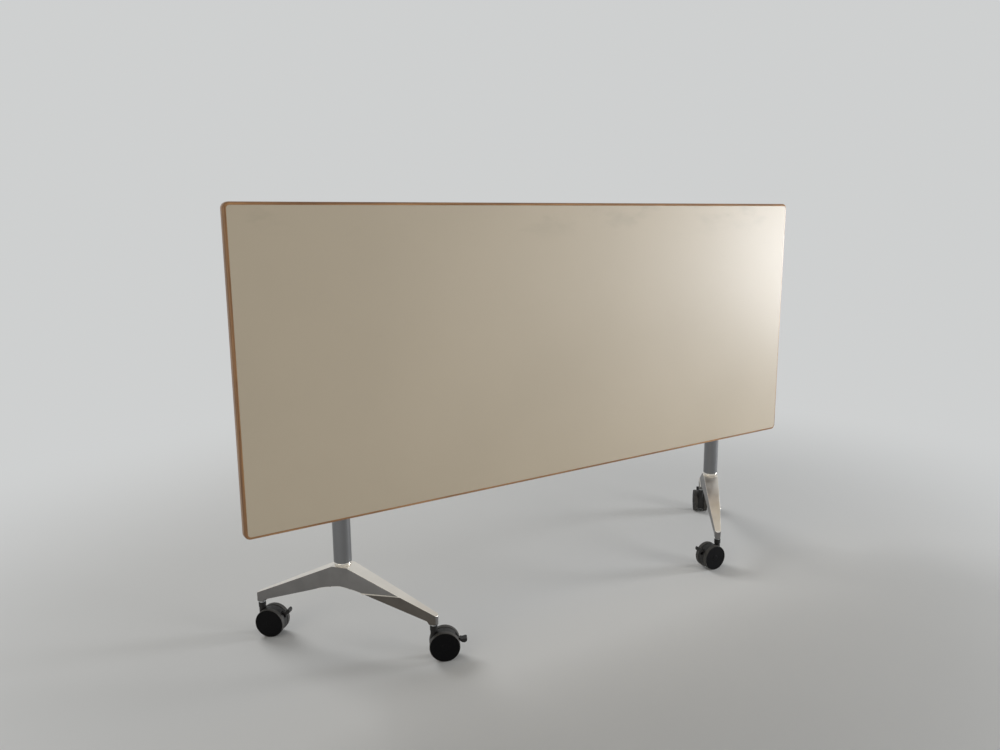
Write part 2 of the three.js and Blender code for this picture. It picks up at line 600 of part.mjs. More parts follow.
function makeCastor({ name, side, end, heading, lever }) {
  const { pin, radius, trail, wheelFrom, hub, axleDepth } = CASTOR;
  const { stemRadius, stemFlange, stemFrom, stemTop, bossTop } = CASTOR;
  const castor = new THREE.Group();
  castor.position.set(side * COLUMN_X + side * end * pin * Math.cos(SKEW), end * pin * Math.sin(SKEW), 0);
  castor.rotation.z = THREE.MathUtils.degToRad(heading);
  table.add(castor);
  const stem = [
    [0, stemFrom], [stemRadius, stemFrom], [stemRadius, bossTop + GAP], [stemFlange, bossTop + GAP],
    [stemFlange, FOOT.seat - GAP], [stemRadius, FOOT.seat - GAP], [stemRadius, stemTop], [0, stemTop],
  ];
  piece(castor, `${name}_castor_stem`, turnedZ(stem, ROUND_SMALL), FINISH.zinc);
  piece(castor, `${name}_castor_hood`, hoodBody(), FINISH.blackPlastic);
  const axleEnd = wheelFrom + axleDepth - 2 * GAP;
  const axleAt = [trail, 0, radius];
  const axle = turnedY(rod(hub, -axleEnd, axleEnd), ROUND_SMALL);
  piece(castor, `${name}_castor_axle`, axle, FINISH.zinc, axleAt);
  const wheel = turnedY(wheelProfile(), ROUND_LARGE).translate(0, wheelFrom, 0);
  piece(castor, `${name}_outer_wheel`, wheel.clone(), FINISH.tread, axleAt);
  piece(castor, `${name}_inner_wheel`, wheel.rotateZ(Math.PI), FINISH.tread, axleAt);
  piece(castor, `${name}_brake_lever`, leverBody(lever), FINISH.blackPlastic);
}

makeBoard();
SIDES.forEach(makeBracket);
makeLatch();
makeCrossTube();
SIDES.forEach(makeHead);
SIDES.forEach(makeColumn);
SIDES.forEach(makeFoot);
CORNERS.forEach(makeCastor);

console.log(`least gap between spring turns: ${leastSpringGap().toFixed(2)} mm`);

// The origin lies on the floor under the middle of the table's outline.
table.updateMatrixWorld(true);
const extent = new THREE.Box3().setFromObject(table, true);
table.position.set(-(extent.min.x + extent.max.x) / 2, -(extent.min.y + extent.max.y) / 2, -extent.min.z);
table.updateMatrixWorld(true);

export default table;
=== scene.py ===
"""Dresses the flip top training table over its CAD frame: pieces, finishes, stage and camera."""
import json
import math

import bmesh
import bpy
from bpy.props import FloatProperty, FloatVectorProperty, IntProperty, PointerProperty
from mathutils import Matrix, Vector


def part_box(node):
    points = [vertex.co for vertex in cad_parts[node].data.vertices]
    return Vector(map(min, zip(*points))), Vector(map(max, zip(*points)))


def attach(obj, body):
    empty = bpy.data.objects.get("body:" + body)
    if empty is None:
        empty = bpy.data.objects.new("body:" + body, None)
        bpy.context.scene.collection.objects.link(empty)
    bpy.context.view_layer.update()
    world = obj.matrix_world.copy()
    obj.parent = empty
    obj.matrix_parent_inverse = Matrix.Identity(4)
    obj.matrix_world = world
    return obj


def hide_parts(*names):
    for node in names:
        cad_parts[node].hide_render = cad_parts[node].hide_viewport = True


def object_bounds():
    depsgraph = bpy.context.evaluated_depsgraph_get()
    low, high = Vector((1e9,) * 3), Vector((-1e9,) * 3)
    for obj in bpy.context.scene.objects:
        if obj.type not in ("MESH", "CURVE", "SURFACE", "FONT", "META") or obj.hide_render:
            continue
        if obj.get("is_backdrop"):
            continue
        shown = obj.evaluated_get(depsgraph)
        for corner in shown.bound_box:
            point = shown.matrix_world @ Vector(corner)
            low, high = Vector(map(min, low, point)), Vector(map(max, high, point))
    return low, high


bl_info = {
    "name": "Flip Top Training Table",
    "version": (1, 0, 0),
    "blender": (4, 5, 0),
    "location": "View3D > Sidebar > Table",
    "description": "Builds the finished pieces of a flip top training table on its CAD frame",
    "category": "Object",
}

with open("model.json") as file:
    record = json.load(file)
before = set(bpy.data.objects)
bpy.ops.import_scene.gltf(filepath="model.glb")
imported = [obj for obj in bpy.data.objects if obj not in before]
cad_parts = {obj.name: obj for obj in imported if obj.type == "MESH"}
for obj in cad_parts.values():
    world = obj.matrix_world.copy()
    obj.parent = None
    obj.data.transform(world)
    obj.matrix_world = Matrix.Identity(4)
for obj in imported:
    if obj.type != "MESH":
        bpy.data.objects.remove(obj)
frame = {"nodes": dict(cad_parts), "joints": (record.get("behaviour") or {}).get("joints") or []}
CAD_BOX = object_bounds()
NODES = frame["nodes"]
JOINTS = {joint["name"]: joint for joint in frame["joints"]}
SIDES = ("left", "right")
CORNERS = tuple(f"{side}_{end}" for side in SIDES for end in ("front", "rear"))
MERGE = 1e-6
CAD_MERGE = 1e-5
FLAT = math.radians(0.4)
FRAME_WIDTH = 1000
FINISHES = {}


# Shared measures

def low(node):
    return Vector(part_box(node)[0])


def high(node):
    return Vector(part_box(node)[1])


def middle(node):
    return (low(node) + high(node)) / 2


def joint_place(name):
    return Vector(JOINTS[name]["pos_m"])


def joint_axis(name):
    return Vector(JOINTS[name]["axis"]).normalized()


def span_along(node, origin, axis):
    """How far a node reaches along an axis, and its largest radius round it."""
    arms = [vertex.co - origin for vertex in NODES[node].data.vertices]
    along = [arm.dot(axis) for arm in arms]
    radius = max((arm - axis * step).length for arm, step in zip(arms, along))
    return min(along), max(along), radius


# Shared modelling

def turned(profile, steps, origin, axis, closed=False):
    """Spins (radius, along) points round an axis through the origin."""
    bm = bmesh.new()
    verts = [bm.verts.new((radius, 0.0, along)) for radius, along in profile]
    edges = [bm.edges.new(pair) for pair in zip(verts, verts[1:])]
    if closed:
        edges.append(bm.edges.new((verts[-1], verts[0])))
    bmesh.ops.spin(
        bm, geom=verts + edges, cent=(0, 0, 0), axis=(0, 0, 1), dvec=(0, 0, 0),
        angle=math.tau, steps=steps, use_merge=True)
    settle(bm)
    turn = axis.to_track_quat("Z", "X").to_matrix().to_4x4()
    bmesh.ops.transform(bm, matrix=Matrix.Translation(origin) @ turn, verts=bm.verts)
    return bm


def settle(bm):
    bmesh.ops.remove_doubles(bm, verts=bm.verts, dist=MERGE)
    bmesh.ops.recalc_face_normals(bm, faces=bm.faces)


def rounded(bm, edges, offset, segments=2, clamp=True):
    """Rounds the given edges and returns the new faces; clamping shrinks all of them alike."""
    made = bmesh.ops.bevel(
        bm, geom=edges, offset=offset, offset_type="OFFSET", segments=segments,
        profile=0.5, affect="EDGES", clamp_overlap=clamp, material=-1)
    return made["faces"]


def soften(bm, offset, segments=3, least=30.0, clamp=True, inward=True):
    """Rounds the edges that turn by more than the least angle, in degrees."""
    limit = math.radians(least)
    edges = [
        edge for edge in bm.edges
        if edge.is_manifold and edge.calc_face_angle(0.0) > limit and (inward or edge.is_convex)]
    rounded(bm, edges, offset, segments, clamp)


def merged(node):
    """A merged copy of a CAD node with its flats joined."""
    bm = bmesh.new()
    bm.from_mesh(NODES[node].data)
    bmesh.ops.remove_doubles(bm, verts=bm.verts, dist=CAD_MERGE)
    bmesh.ops.dissolve_limit(
        bm, angle_limit=FLAT, verts=bm.verts, edges=bm.edges, delimit=set())
    return bm


def refined(node, offset, clamp=True, inward=True):
    """A merged copy of a CAD node with its edges rounded, the inward ones unless left out."""
    bm = merged(node)
    soften(bm, offset, 2, clamp=clamp, inward=inward)
    return bm


def publish(bm, name, body, slot, finishes, replaced=(), crease=32.0):
    """Makes the bmesh a shaded piece that rides on its body."""
    limit = math.radians(crease)
    for face in bm.faces:
        face.smooth = True
    for edge in bm.edges:
        if edge.calc_face_angle(0.0) > limit:
            edge.smooth = False
    mesh = bpy.data.meshes.new(name)
    bm.to_mesh(mesh)
    bm.free()
    for finish in finishes:
        mesh.materials.append(FINISHES[finish])
    piece = bpy.data.objects.new(name, mesh)
    bpy.context.scene.collection.objects.link(piece)
    weigh = piece.modifiers.new("flat faces lead", "WEIGHTED_NORMAL")
    weigh.keep_sharp = True
    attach(piece, body)
    if replaced:
        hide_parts(*replaced)
    return piece


def dress(node, finish):
    """Gives a CAD node that keeps its shape a better material."""
    slots = NODES[node].material_slots
    for slot in slots:
        slot.material = FINISHES[finish]


# Shared shading

def shader_group(name, inputs, outputs):
    group = bpy.data.node_groups.new(name, "ShaderNodeTree")
    for label, kind, default in inputs:
        socket = group.interface.new_socket(name=label, in_out="INPUT", socket_type=kind)
        socket.default_value = default
    for label, kind in outputs:
        group.interface.new_socket(name=label, in_out="OUTPUT", socket_type=kind)
    return group, group.nodes.new("NodeGroupInput"), group.nodes.new("NodeGroupOutput")


def make_mottle_group():
    """Cloudy mask between two noise levels."""
    group, enter, leave = shader_group(
        "mottle",
        (("Vector", "NodeSocketVector", (0, 0, 0)), ("Scale", "NodeSocketFloat", 5.0),
         ("Detail", "NodeSocketFloat", 4.0), ("From", "NodeSocketFloat", 0.35),
         ("To", "NodeSocketFloat", 0.65)),
        (("Mask", "NodeSocketFloat"),))
    noise = group.nodes.new("ShaderNodeTexNoise")
    spread = group.nodes.new("ShaderNodeMapRange")
    spread.interpolation_type = "SMOOTHSTEP"
    link = group.links.new
    link(enter.outputs["Vector"], noise.inputs["Vector"])
    link(enter.outputs["Scale"], noise.inputs["Scale"])
    link(enter.outputs["Detail"], noise.inputs["Detail"])
    link(noise.outputs["Fac"], spread.inputs["Value"])
    link(enter.outputs["From"], spread.inputs["From Min"])
    link(enter.outputs["To"], spread.inputs["From Max"])
    link(spread.outputs["Result"], leave.inputs["Mask"])
    return group


def make_relief_group():
    """Fine surface relief as a bumped normal."""
    group, enter, leave = shader_group(
        "relief",
        (("Vector", "NodeSocketVector", (0, 0, 0)), ("Scale", "NodeSocketFloat", 500.0),
         ("Strength", "NodeSocketFloat", 0.1), ("Depth", "NodeSocketFloat", 0.0005)),
        (("Normal", "NodeSocketVector"),))
    noise = group.nodes.new("ShaderNodeTexNoise")
    noise.inputs["Detail"].default_value = 2.0
    bump = group.nodes.new("ShaderNodeBump")
    link = group.links.new
    link(enter.outputs["Vector"], noise.inputs["Vector"])
    link(enter.outputs["Scale"], noise.inputs["Scale"])
    link(noise.outputs["Fac"], bump.inputs["Height"])
    link(enter.outputs["Strength"], bump.inputs["Strength"])
    link(enter.outputs["Depth"], bump.inputs["Distance"])
    link(bump.outputs["Normal"], leave.inputs["Normal"])
    return group


class Finish:
    """One procedural material under construction."""

    def __init__(self, name, metallic=0.0, roughness=0.5):
        self.material = bpy.data.materials.new(name)
        self.material.use_nodes = True
        self.tree = self.material.node_tree
        self.shader = self.tree.nodes["Principled BSDF"]
        self.shader.inputs["Metallic"].default_value = metallic
        self.shader.inputs["Roughness"].default_value = roughness
        self.place = self.node("ShaderNodeTexCoord").outputs["Object"]
        FINISHES[name] = self.material

    def node(self, kind, **inputs):
        made = self.tree.nodes.new(kind)
        for label, value in inputs.items():
            made.inputs[label].default_value = value
        return made

    def link(self, output, socket):
        self.tree.links.new(output, socket)

    def stretched(self, scale):
        mapping = self.node("ShaderNodeMapping", Scale=scale)
        self.link(self.place, mapping.inputs["Vector"])
        return mapping.outputs["Vector"]

    def group(self, name, vector, **inputs):
        made = self.tree.nodes.new("ShaderNodeGroup")
        made.node_tree = bpy.data.node_groups[name]
        for label, value in inputs.items():
            made.inputs[label].default_value = value
        self.link(vector, made.inputs["Vector"])
        return made.outputs[0]

    def mix(self, mask, first, second):
        """Mixes two colours, each a constant or another node's output."""
        made = self.node("ShaderNodeMix")
        made.data_type = "RGBA"
        self.link(mask, made.inputs["Factor"])
        for label, value in (("A", first), ("B", second)):
            socket = next(
                item for item in made.inputs if item.name == label and item.type == "RGBA")
            if isinstance(value, bpy.types.NodeSocket):
                self.link(value, socket)
            else:
                socket.default_value = (*value, 1.0)
        return next(item for item in made.outputs if item.type == "RGBA")

    def spread(self, mask, start, end):
        made = self.node("ShaderNodeMapRange")
        made.inputs["To Min"].default_value = start
        made.inputs["To Max"].default_value = end
        self.link(mask, made.inputs["Value"])
        return made.outputs["Result"]

    def math(self, operation, first, second):
        made = self.node("ShaderNodeMath")
        made.operation = operation
        for socket, value in zip(made.inputs, (first, second)):
            if isinstance(value, bpy.types.NodeSocket):
                self.link(value, socket)
            else:
                socket.default_value = value
        return made.outputs["Value"]

    def colour(self, output):
        self.link(output, self.shader.inputs["Base Color"])

    def roughness(self, mask, start, end):
        self.link(self.spread(mask, start, end), self.shader.inputs["Roughness"])

    def relief(self, vector, **inputs):
        self.link(self.group("relief", vector, **inputs), self.shader.inputs["Normal"])


def shade(colour, level):
    return tuple(channel * level for channel in colour[:3])


def plain_finish(name, colour, metallic, rough, scale, contrast, relief, specular=0.5):
    """Mottled colour, uneven gloss and a fine relief, each at the finish's own scale."""
    finish = Finish(name, metallic)
    finish.shader.inputs["Specular IOR Level"].default_value = specular
    cloud = finish.group("mottle", finish.place, Scale=scale)
    finish.colour(finish.mix(cloud, shade(colour, 1 - contrast), shade(colour, 1 + contrast)))
    patch = finish.group("mottle", finish.place, Scale=scale * 2.7, Detail=3.0)
    finish.roughness(patch, *rough)
    relief_scale, relief_strength = relief
    finish.relief(finish.place, Scale=relief_scale, Strength=relief_strength)


def make_laminate(settings):
    """Warm off-white pressure laminate with faint handling marks along its upper edge."""
    colour = settings.laminate_colour[:3]
    finish = Finish("work_laminate")
    cloud = finish.group("mottle", finish.place, Scale=2.2, Detail=3.0, From=0.3, To=0.7)
    tone = finish.mix(cloud, shade(colour, 0.975), shade(colour, 1.02))
    fleck = finish.group("mottle", finish.place, Scale=900.0, Detail=2.0, From=0.55, To=0.75)
    tone = finish.mix(finish.math("MULTIPLY", fleck, 0.25), tone, shade(colour, 0.86))
    streak = finish.stretched((1.0, 1.0, 2.2))
    smear = finish.group("mottle", streak, Scale=7.0, Detail=7.0, From=0.53, To=0.72)
    split = finish.node("ShaderNodeSeparateXYZ")
    finish.link(finish.place, split.inputs["Vector"])
    rim = finish.node("ShaderNodeMapRange")
    rim.interpolation_type = "SMOOTHSTEP"
    rim.inputs["From Min"].default_value = high("face_laminate").z - settings.mark_depth
    rim.inputs["From Max"].default_value = high("face_laminate").z
    finish.link(split.outputs["Z"], rim.inputs["Value"])
    marks = finish.math("MULTIPLY", smear, rim.outputs["Result"])
    finish.colour(finish.mix(finish.math("MULTIPLY", marks, 0.5), tone, shade(colour, 0.7)))
    finish.roughness(cloud, 0.4, 0.45)
    finish.shader.inputs["Specular IOR Level"].default_value = 1.0
    finish.relief(finish.place, Scale=1100.0, Strength=0.06)


def make_lipping_wood(settings):
    """Lacquered solid wood whose grain follows each side of the top."""
    finish = Finish("lipping_wood")
    run = finish.node("ShaderNodeAttribute")
    run.attribute_name = "upright"
    tones = []
    masks = []
    for stretch in ((1.6, 60.0, 60.0), (60.0, 60.0, 1.6)):
        vector = finish.stretched(stretch)
        masks.append(finish.group("mottle", vector, Scale=3.0, Detail=6.0, From=0.3, To=0.72))
        pores = finish.group("mottle", vector, Scale=11.0, Detail=3.0, From=0.56, To=0.66)
        grain = finish.mix(masks[-1], settings.lipping_dark[:3], settings.lipping_light[:3])
        depth = finish.math("MULTIPLY", pores, 0.55)
        tones.append(finish.mix(depth, grain, shade(settings.lipping_dark, 0.5)))
    finish.colour(finish.mix(run.outputs["Fac"], *tones))
    finish.roughness(masks[0], 0.3, 0.38)
    finish.relief(finish.place, Scale=300.0, Strength=0.05)


def make_tread(settings):
    """Moulded wheel rim, greyed by floor dust and scuffs."""
    finish = Finish("wheel_tread")
    colour = settings.tread_colour[:3]
    scuff = finish.group("mottle", finish.place, Scale=90.0, Detail=8.0, From=0.42, To=0.68)
    finish.colour(finish.mix(scuff, colour, shade(colour, 1.9)))
    finish.roughness(scuff, 0.5, 0.78)
    finish.relief(finish.place, Scale=700.0, Strength=0.12)


def make_finishes():
    board = bpy.context.scene.table_board
    legs = bpy.context.scene.table_legs
    castors = bpy.context.scene.table_castors
    make_mottle_group()
    make_relief_group()
    make_laminate(board)
    make_lipping_wood(board)
    make_tread(castors)
    plain_finish("backing_sheet", board.backing_colour, 0.0, (0.5, 0.62), 3.0, 0.03, (900.0, 0.08))
    plain_finish("chip_board", board.core_colour, 0.0, (0.8, 0.95), 420.0, 0.25, (500.0, 0.3))
    # the polished top faces of the feet; the same finish is also the painted highlight on the fold
    # ridges and on part of the lower rims
    plain_finish("polished_top_and_highlight", legs.foot_colour, 1.0, (0.28, 0.36), 18.0, 0.03, (60.0, 0.02))
    plain_finish("cast_wall", legs.wall_colour, 1.0, (0.34, 0.42), 24.0, 0.05, (90.0, 0.018))
    # painted shade: this darker copy of the wall finish goes on the facets below each fold and stands
    # in for the dark floor they reflect
    plain_finish("painted_shade_under", legs.under_shade_colour, 1.0, (0.4, 0.5), 24.0, 0.06, (90.0, 0.03))
    plain_finish("mirror_ring", legs.foot_colour, 1.0, (0.06, 0.12), 60.0, 0.02, (40.0, 0.01))
    plain_finish("silver_coat", legs.column_colour, 0.9, (0.28, 0.292), 9.0, 0.01, (12.0, 0.004))
    plain_finish("black_coat", legs.black_colour, 0.3, (0.42, 0.55), 40.0, 0.12, (900.0, 0.1))
    plain_finish("zinc_plate", legs.zinc_colour, 1.0, (0.27, 0.35), 60.0, 0.04, (700.0, 0.03))
    plain_finish(
        "moulded_black", castors.plastic_colour, 0.0, (0.45, 0.55), 55.0, 0.08, (1300.0, 0.12),
        specular=0.3)
    plain_finish(
        "disc_black", castors.disc_colour, 0.0, (0.48, 0.58), 70.0, 0.1, (300.0, 0.05),
        specular=0.1)
    plain_finish("soft_rubber", castors.rubber_colour, 0.0, (0.75, 0.9), 80.0, 0.15, (900.0, 0.2))
    plain_finish("natural_nylon", castors.nylon_colour, 0.0, (0.4, 0.5), 60.0, 0.03, (800.0, 0.05))


# Settings

def colour_setting(name, description, value):
    return FloatVectorProperty(
        name=name, description=description, subtype="COLOR", size=3, min=0.0, max=1.0,
        default=value)


def length_setting(name, description, value):
    return FloatProperty(
        name=name, description=description, subtype="DISTANCE", unit="LENGTH", min=0.0,
        default=value)


class TableBoardSettings(bpy.types.PropertyGroup):
    lipping_width: length_setting("Lipping width", "Wooden edge seen round the work face", 0.007)
    lipping_round: length_setting("Lipping rounding", "Radius of the wooden edge", 0.0068)
    corner: length_setting("Corner radius", "Radius of the top's corners", 0.015)
    mark_depth: length_setting("Mark depth", "Reach of the handling marks below the upper edge", 0.11)
    laminate_colour: colour_setting("Laminate", "Work face colour", (0.432, 0.362, 0.262))
    backing_colour: colour_setting("Backing", "Underside colour", (0.44, 0.4, 0.34))
    core_colour: colour_setting("Core", "Raw board colour", (0.43, 0.27, 0.12))
    lipping_light: colour_setting("Light grain", "Pale grain of the edge", (0.43, 0.225, 0.095))
    lipping_dark: colour_setting("Dark grain", "Dark grain of the edge", (0.23, 0.112, 0.045))


class TableLegSettings(bpy.types.PropertyGroup):
    foot_crest: length_setting("Foot crest", "Rounding beside the foot's upper faces", 0.0008)
    foot_rim: length_setting("Foot rim", "Rounding of the foot's lower edges", 0.001)
    foot_hub: length_setting("Foot hub", "Rounding where the arms run into the hub", 0.004)
    ridge: length_setting("Ridge", "How far the fold stands proud of the walls", 0.0009)
    foot_fold: length_setting("Foot fold", "Half width of the ridge along the fold in the walls", 0.002)
    small_edge: length_setting("Small edge", "Rounding of the small metal pieces", 0.0006)
    turn_steps: IntProperty(
        name="Turned steps", description="Facets of a full turn", default=96, min=16, max=256)
    foot_colour: colour_setting("Polished metal", "Polished faces of the feet", (0.88, 0.835, 0.765))
    wall_colour: colour_setting("Cast walls", "Side walls of the feet", (0.232, 0.226, 0.222))
    # painted shade: darker tone for the facets below the fold, standing in for the dark floor they
    # reflect
    under_shade_colour: colour_setting("Cast facets", "Facets below the fold", (0.165, 0.15, 0.134))
    column_colour: colour_setting("Column", "Satin silver coat", (0.235, 0.238, 0.246))
    black_colour: colour_setting("Black coat", "Brackets under the top", (0.024, 0.024, 0.026))
    zinc_colour: colour_setting("Zinc", "Plated pins and rods", (0.55, 0.56, 0.57))


class TableCastorSettings(bpy.types.PropertyGroup):
    shoulder: length_setting("Wheel shoulder", "Rounding of the wheel rims", 0.0018)
    groove: length_setting("Disc groove", "Width of the groove round each wheel disc", 0.0008)
    moulded_edge: length_setting("Moulded edge", "Rounding of hoods and levers", 0.0004)
    plastic_colour: colour_setting("Black plastic", "Hoods and levers", (0.017, 0.0165, 0.016))
    disc_colour: colour_setting("Wheel disc", "Closed faces of the wheels", (0.003, 0.003, 0.0035))
    tread_colour: colour_setting("Tread", "Wheel rims", (0.03, 0.028, 0.025))
    rubber_colour: colour_setting("Rubber", "Rest and stop pads", (0.02, 0.02, 0.02))
    nylon_colour: colour_setting("Nylon", "Pivot bushes", (0.6, 0.58, 0.53))


class TableStageSettings(bpy.types.PropertyGroup):
    floor_colour: colour_setting("Floor", "Plain pale floor", (0.7, 0.7, 0.69))
    backdrop_colour: colour_setting("Backdrop", "Plain pale surroundings", (0.62, 0.63, 0.63))
    fade_from: length_setting("Fade from", "Distance at which the floor starts to fade", 1.0)
    fade_to: length_setting("Fade to", "Distance at which the floor is backdrop", 2.7)
    ambient: FloatProperty(
        name="Ambient", description="Strength of the even light", default=0.245, min=0.0, max=2.0)
    key_power: FloatProperty(
        name="Key", description="Power of the large soft lamp", unit="POWER", default=228.0, min=0.0)
    cool_tint: colour_setting("Cool tint", "Tint of the key lamp", (0.94, 0.965, 1.0))
    warm_tint: colour_setting("Warm tint", "Tint of the lamp on the left", (1.0, 0.92, 0.78))
    focal_pixels: FloatProperty(
        name="Focal length", description="In pixels of a frame 1000 wide", default=830.17, min=100.0)


# Pieces

class TABLE_OT_board(bpy.types.Operator):
    """Wooden lipping round the board, and finishes for its sheets"""
    bl_idname = "table.board"
    bl_label = "Board"

    def execute(self, context):
        settings = context.scene.table_board
        bm = bmesh.new()
        size = high("edge_lipping") - low("edge_lipping")
        bmesh.ops.create_cube(bm, size=1.0)
        bmesh.ops.scale(bm, vec=size, verts=bm.verts)
        bmesh.ops.translate(bm, vec=middle("edge_lipping"), verts=bm.verts)
        corners = [e for e in bm.edges if abs((e.verts[0].co - e.verts[1].co).normalized().y) > 0.9]
        rounded(bm, corners, settings.corner, 10, clamp=False)
        faces = [face for face in bm.faces if abs(face.normal.y) > 0.9]
        rims = list({edge for face in faces for edge in face.edges})
        rounded(bm, rims, settings.lipping_round, 6, clamp=False)
        flats = [face for face in bm.faces if abs(face.normal.y) > 0.999 and face.calc_area() > 0.1]
        bmesh.ops.inset_region(
            bm, faces=flats, thickness=settings.lipping_width - settings.lipping_round,
            use_even_offset=True)
        bmesh.ops.delete(bm, geom=flats, context="FACES_ONLY")
        loose = [edge for edge in bm.edges if edge.is_boundary]
        bmesh.ops.bridge_loops(bm, edges=loose)
        settle(bm)
        upright = bm.faces.layers.float.new("upright")
        reach = size.x / 2 - settings.corner * 0.6
        for face in bm.faces:
            face[upright] = float(abs(face.calc_center_median().x) > reach)
        publish(bm, "wooden_lipping", "top", "lipping", ["lipping_wood"], ["edge_lipping"])
        dress("face_laminate", "work_laminate")
        dress("back_laminate", "backing_sheet")
        dress("top_core", "chip_board")
        return {"FINISHED"}


class TABLE_OT_columns(bpy.types.Operator):
    """Round steel columns with a polished seat ring under each"""
    bl_idname = "table.columns"
    bl_label = "Columns"

    def execute(self, context):
        settings = context.scene.table_legs
        steps = settings.turn_steps
        up = Vector((0, 0, 1))
        for side in SIDES:
            node = f"{side}_column"
            centre = middle(node)
            foot, top = low(node).z, high(node).z
            radius = (high(node).x - low(node).x) / 2
            wall = radius * 0.11
            base = Vector((centre.x, centre.y, 0))
            bore = (high(f"{side}_foot_bolt").x - low(f"{side}_foot_bolt").x) / 2
            bm = turned(
                ((bore, foot), (radius, foot), (radius, top), (radius - wall, top),
                 (radius - wall, foot + wall), (bore, foot + wall)), steps, base, up, closed=True)
            soften(bm, settings.small_edge, 3)
            publish(bm, f"{side}_column_tube", "frame", "column_paint", ["silver_coat"], [node])
            self.seat_ring(side, base, steps, bore)
            bolt = f"{side}_foot_bolt"
            bm = refined(bolt, settings.small_edge)
            publish(bm, f"{side}_foot_screw", "frame", "zinc", ["zinc_plate"], [bolt])
        return {"FINISHED"}

    def seat_ring(self, side, base, steps, bore):
        node = f"{side}_seat_ring"
        foot, top = low(node).z, high(node).z
        radius = (high(node).x - low(node).x) / 2
        height = top - foot
        waist = radius * 0.94
        bm = turned(
            ((bore, foot), (waist, foot), (waist, foot + height * 0.42),
             (radius, foot + height * 0.55), (radius, foot + height * 0.82), (waist, top), (bore, top)),
            steps, base, Vector((0, 0, 1)), closed=True)
        soften(bm, height * 0.06, 3, 20.0)
        publish(
            bm, f"{side}_polished_ring", "frame", "polished_aluminium", ["mirror_ring"], [node],
            crease=50.0)


class TABLE_OT_feet(bpy.types.Operator):
    """Cast feet with polished upper faces, satin walls, a ridge along one wall of each arm with a
    painted highlight, and painted shade on the facets below it
    """
    bl_idname = "table.feet"
    bl_label = "Feet"

    def execute(self, context):
        settings = context.scene.table_legs
        polished, wall, under = range(3)
        for side in SIDES:
            node = f"{side}_foot"
            bm = merged(node)
            for face in bm.faces:
                face.material_index = polished if face.normal.z > 0.25 else wall
            axis = middle(f"{side}_column")
            rounded(bm, self.hub_corners(bm, axis), settings.foot_hub, 6, clamp=False)
            # painted shade: the facet below each fold gets the darker finish
            for edge in self.folds(bm, side):
                lower = min(edge.link_faces, key=lambda face: face.calc_center_median().z)
                lower.material_index = under
            for face in rounded(bm, self.crests(bm), settings.foot_crest, clamp=False):
                face.material_index = polished
            folds = self.folds(bm, side)
            lowest = min(vert.co.z for edge in folds for vert in edge.verts)
            ridge_foot = lowest - settings.foot_fold
            # painted highlight: rim faces above the foot of the ridges get the polished finish so that
            # they show as a bright line
            for face in rounded(bm, self.rims(bm), settings.foot_rim, clamp=False):
                if face.calc_center_median().z > ridge_foot:
                    face.material_index = polished
            self.raise_ridges(bm, side, settings, polished)
            publish(
                bm, f"{side}_cast_foot", "frame", "polished_aluminium",
                ["polished_top_and_highlight", "cast_wall", "painted_shade_under"], [node])
        return {"FINISHED"}

    def slopes(self, bm):
        """Each edge between two faces, with how far each faces up, the lesser first."""
        for edge in bm.edges:
            if edge.is_manifold:
                yield edge, *sorted(face.normal.z for face in edge.link_faces)

    def crests(self, bm):
        return [edge for edge, lower, upper in self.slopes(bm) if upper > 0.5 > 0.3 > abs(lower)]

    def rims(self, bm):
        return [edge for edge, lower, upper in self.slopes(bm) if lower < -0.3 and abs(upper) < 0.3]

    def walls(self, bm):
        """Edges between two side walls, with how steeply each runs."""
        for edge, lower, upper in self.slopes(bm):
            if abs(lower) < 0.3 and abs(upper) < 0.3:
                run = (edge.verts[1].co - edge.verts[0].co).normalized()
                yield edge, abs(run.z), math.degrees(edge.calc_face_angle())

    def folds(self, bm, side):
        """Long folds in the one wall of each arm that gets the painted shade and painted highlight; the
        feet mirror each other.
        """
        hub = middle(f"{side}_column")
        hand = 1.0 if side == "left" else -1.0
        found = []
        for edge, steep, angle in self.walls(bm):
            if steep < 0.3 and 1.0 < angle < 12.0 and edge.calc_length() > 0.02:
                arm = (edge.verts[0].co + edge.verts[1].co) / 2 - hub
                if arm.xy.cross(edge.link_faces[0].normal.xy) * hand < 0:
                    found.append(edge)
        return found

    def hub_corners(self, bm, axis):
        """Upright edges where the walls of the arms run into the hub."""
        corners = []
        for edge, steep, angle in self.walls(bm):
            away = (edge.verts[0].co - axis).xy.length
            if steep > 0.9 and 1.0 < angle < 25.0 and 0.02 < away < 0.045:
                corners.append(edge)
        return corners

    def raise_ridges(self, bm, side, settings, finish):
        """Turns each fold into a narrow raised ridge and gives it the polished finish as a painted
        highlight.
        """
        made = set(rounded(bm, self.folds(bm, side), settings.foot_fold))
        crown = {edge for face in made for edge in face.edges if made.issuperset(edge.link_faces)}
        for edge in crown:
            outward = sum((face.normal for face in edge.link_faces), Vector()).normalized()
            for vert in edge.verts:
                vert.co += outward * settings.ridge
        # painted highlight: the ridge faces take the polished finish
        for face in made:
            face.material_index = finish


